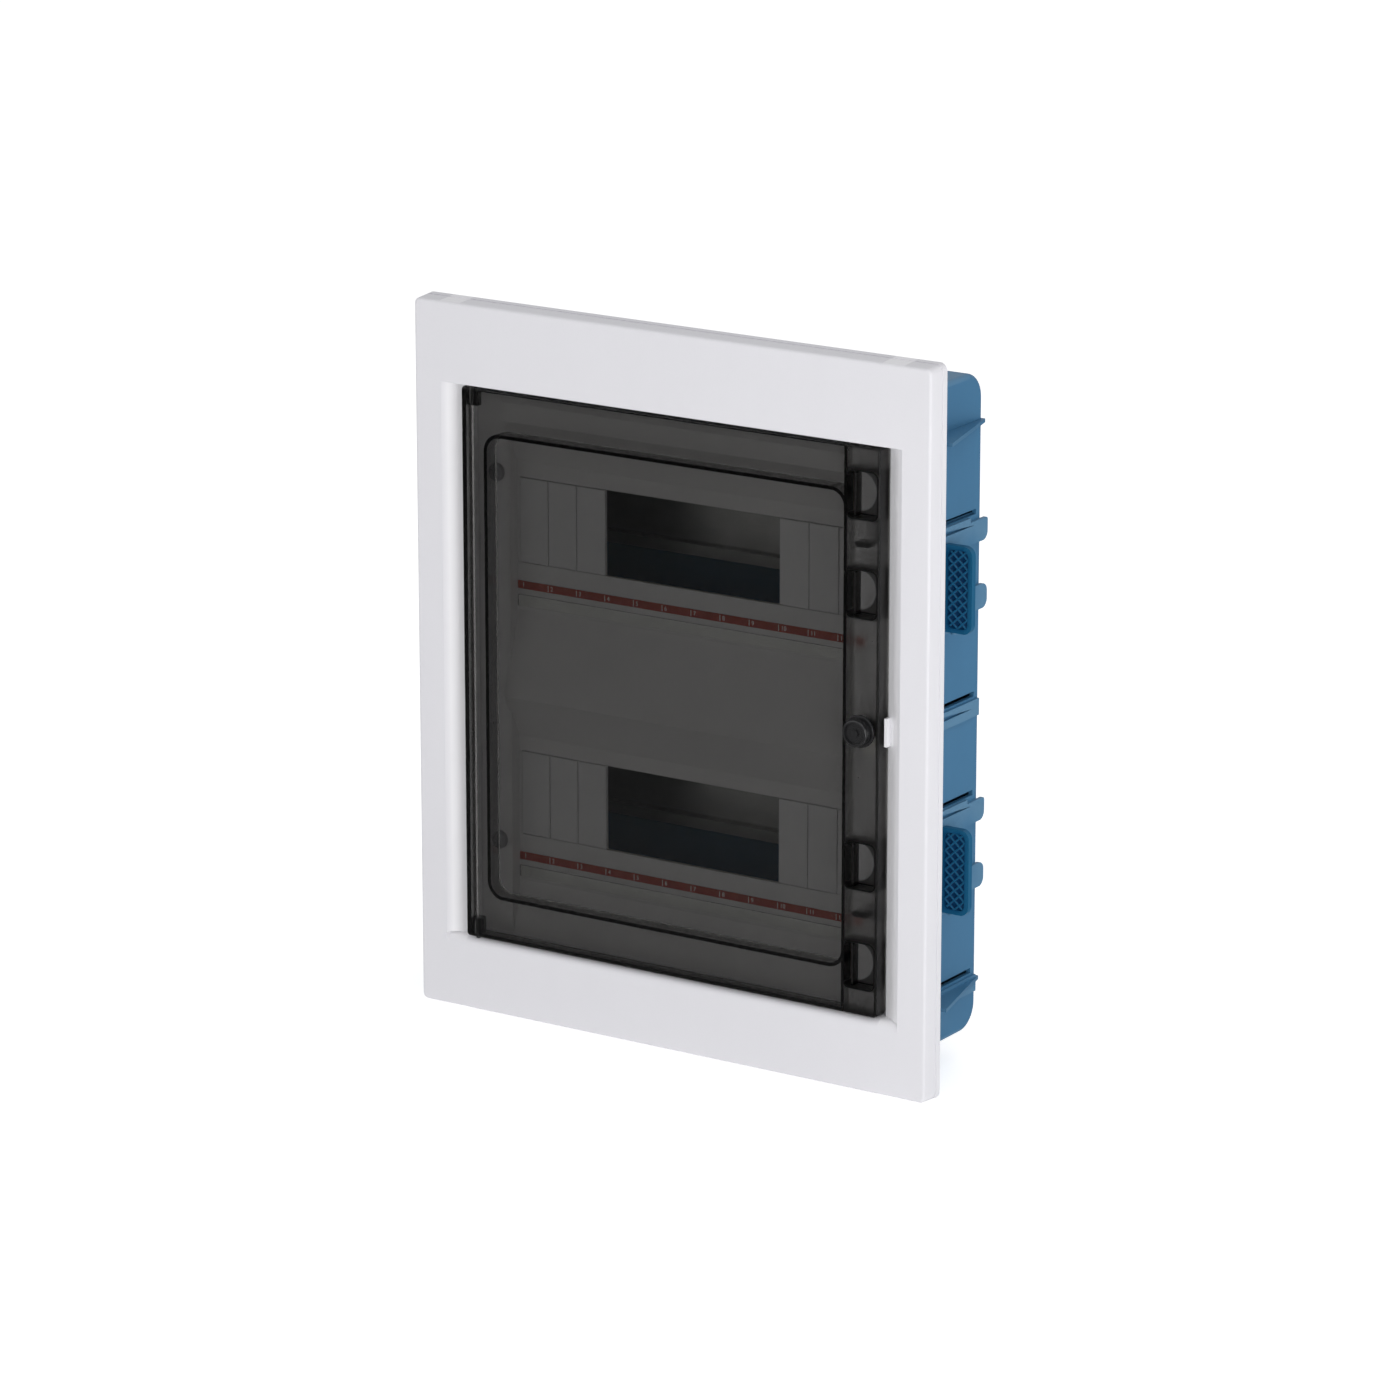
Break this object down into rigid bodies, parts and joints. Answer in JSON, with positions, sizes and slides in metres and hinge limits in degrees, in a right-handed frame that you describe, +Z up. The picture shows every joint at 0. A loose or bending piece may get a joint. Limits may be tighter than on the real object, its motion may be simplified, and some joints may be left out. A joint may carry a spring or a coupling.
{
  "type": "breaker panel box",
  "caption": "Flush wall box with a white trim frame and a smoked hinged door, over a stepped inner cover with module cut-outs, rails, terminal bars and folding plaster anchors.",
  "frame": {"origin": "centre of the trim frame on the plane of the finished wall", "axes": "+X to the right seen from the front, +Y into the wall, +Z up; the door faces -Y"},
  "size_m": [0.318, 0.0892, 0.388],
  "materials": {
    "box_blue": "moulded thermoplastic, fine satin",
    "anchor_blue": "moulded thermoplastic, dark satin",
    "blanking_grey": "fine matt",
    "screw_grey": "satin",
    "rail_steel": "bright zinc plated",
    "strip_orange": "printed, matt",
    "card_white": "card",
    "clear_window": "clear",
    "screw_steel": "zinc plated",
    "brass": "drawn",
    "carrier_blue": "moulded",
    "carrier_green": "moulded",
    "cover_grey": "fine matt",
    "trim_white": "satin gloss",
    "smoked_window": "smoked clear plastic, polished",
    "knob_black": "polished",
    "cam_steel": "zinc plated"
  },
  "bodies": {
    "housing": {"wall_box": "box_blue", "anchor_base_upper_left": "box_blue", "anchor_base_upper_right": "box_blue", "anchor_base_lower_left": "box_blue", "anchor_base_lower_right": "box_blue", "anchor_pins": "screw_steel", "module_rail_upper": "rail_steel", "module_rail_lower": "rail_steel", "rail_screws": "screw_steel", "neutral_carrier": "carrier_blue", "neutral_bar": "brass", "neutral_clamp_screws": "screw_steel", "earth_carrier": "carrier_green", "earth_bar": "brass", "earth_clamp_screws": "screw_steel", "inner_cover": "cover_grey", "blanking_plate_upper_left": "blanking_grey", "blanking_plate_upper_right": "blanking_grey", "blanking_plate_lower_left": "blanking_grey", "blanking_plate_lower_right": "blanking_grey", "number_strip_upper": "strip_orange", "number_strip_lower": "strip_orange", "label_card_upper": "card_white", "label_card_lower": "card_white", "label_window_upper": "clear_window", "label_window_lower": "clear_window", "front_frame": "trim_white", "door_pivot_pins": "screw_steel"},
    "door": {"door": "smoked_window", "latch_collar": "knob_black"},
    "latch": {"latch_knob": "knob_black", "latch_cam": "cam_steel", "latch_screw": "screw_steel"},
    "cover_screw_upper_left_body": {"cover_screw_upper_left": "screw_grey"},
    "cover_screw_upper_right_body": {"cover_screw_upper_right": "screw_grey"},
    "cover_screw_lower_left_body": {"cover_screw_lower_left": "screw_grey"},
    "cover_screw_lower_right_body": {"cover_screw_lower_right": "screw_grey"},
    "anchor_paddle_upper_left_body": {"anchor_paddle_upper_left": "anchor_blue"},
    "anchor_paddle_upper_right_body": {"anchor_paddle_upper_right": "anchor_blue"},
    "anchor_paddle_lower_left_body": {"anchor_paddle_lower_left": "anchor_blue"},
    "anchor_paddle_lower_right_body": {"anchor_paddle_lower_right": "anchor_blue"}
  },
  "joints": [
    {"name": "door_hinge", "type": "hinge", "parent": "housing", "child": "door", "pos_m": [-0.123, -0.0095, 0], "axis": [0, 0, -1], "range_deg": [0, 140]},
    {"name": "latch_turn", "type": "hinge", "parent": "door", "child": "latch", "pos_m": [0.118, -0.014, 0], "axis": [0, 1, 0], "range_deg": [-90, 0]},
    {"name": "cover_screw_upper_left_turn", "type": "hinge", "parent": "housing", "child": "cover_screw_upper_left_body", "pos_m": [-0.118, 0.004, 0.101], "axis": [0, 1, 0], "range_deg": [0, 90]},
    {"name": "cover_screw_upper_right_turn", "type": "hinge", "parent": "housing", "child": "cover_screw_upper_right_body", "pos_m": [0.118, 0.004, 0.101], "axis": [0, 1, 0], "range_deg": [0, 90]},
    {"name": "cover_screw_lower_left_turn", "type": "hinge", "parent": "housing", "child": "cover_screw_lower_left_body", "pos_m": [-0.118, 0.004, -0.101], "axis": [0, 1, 0], "range_deg": [0, 90]},
    {"name": "cover_screw_lower_right_turn", "type": "hinge", "parent": "housing", "child": "cover_screw_lower_right_body", "pos_m": [0.118, 0.004, -0.101], "axis": [0, 1, 0], "range_deg": [0, 90]},
    {"name": "anchor_upper_left_fold", "type": "hinge", "parent": "housing", "child": "anchor_paddle_upper_left_body", "pos_m": [-0.1455, 0.0323, 0.075], "axis": [0, 0, -1], "range_deg": [0, 90]},
    {"name": "anchor_upper_right_fold", "type": "hinge", "parent": "housing", "child": "anchor_paddle_upper_right_body", "pos_m": [0.1455, 0.0323, 0.075], "axis": [0, 0, 1], "range_deg": [0, 90]},
    {"name": "anchor_lower_left_fold", "type": "hinge", "parent": "housing", "child": "anchor_paddle_lower_left_body", "pos_m": [-0.1455, 0.0323, -0.075], "axis": [0, 0, -1], "range_deg": [0, 90]},
    {"name": "anchor_lower_right_fold", "type": "hinge", "parent": "housing", "child": "anchor_paddle_lower_right_body", "pos_m": [0.1455, 0.0323, -0.075], "axis": [0, 0, 1], "range_deg": [0, 90]}
  ]
}
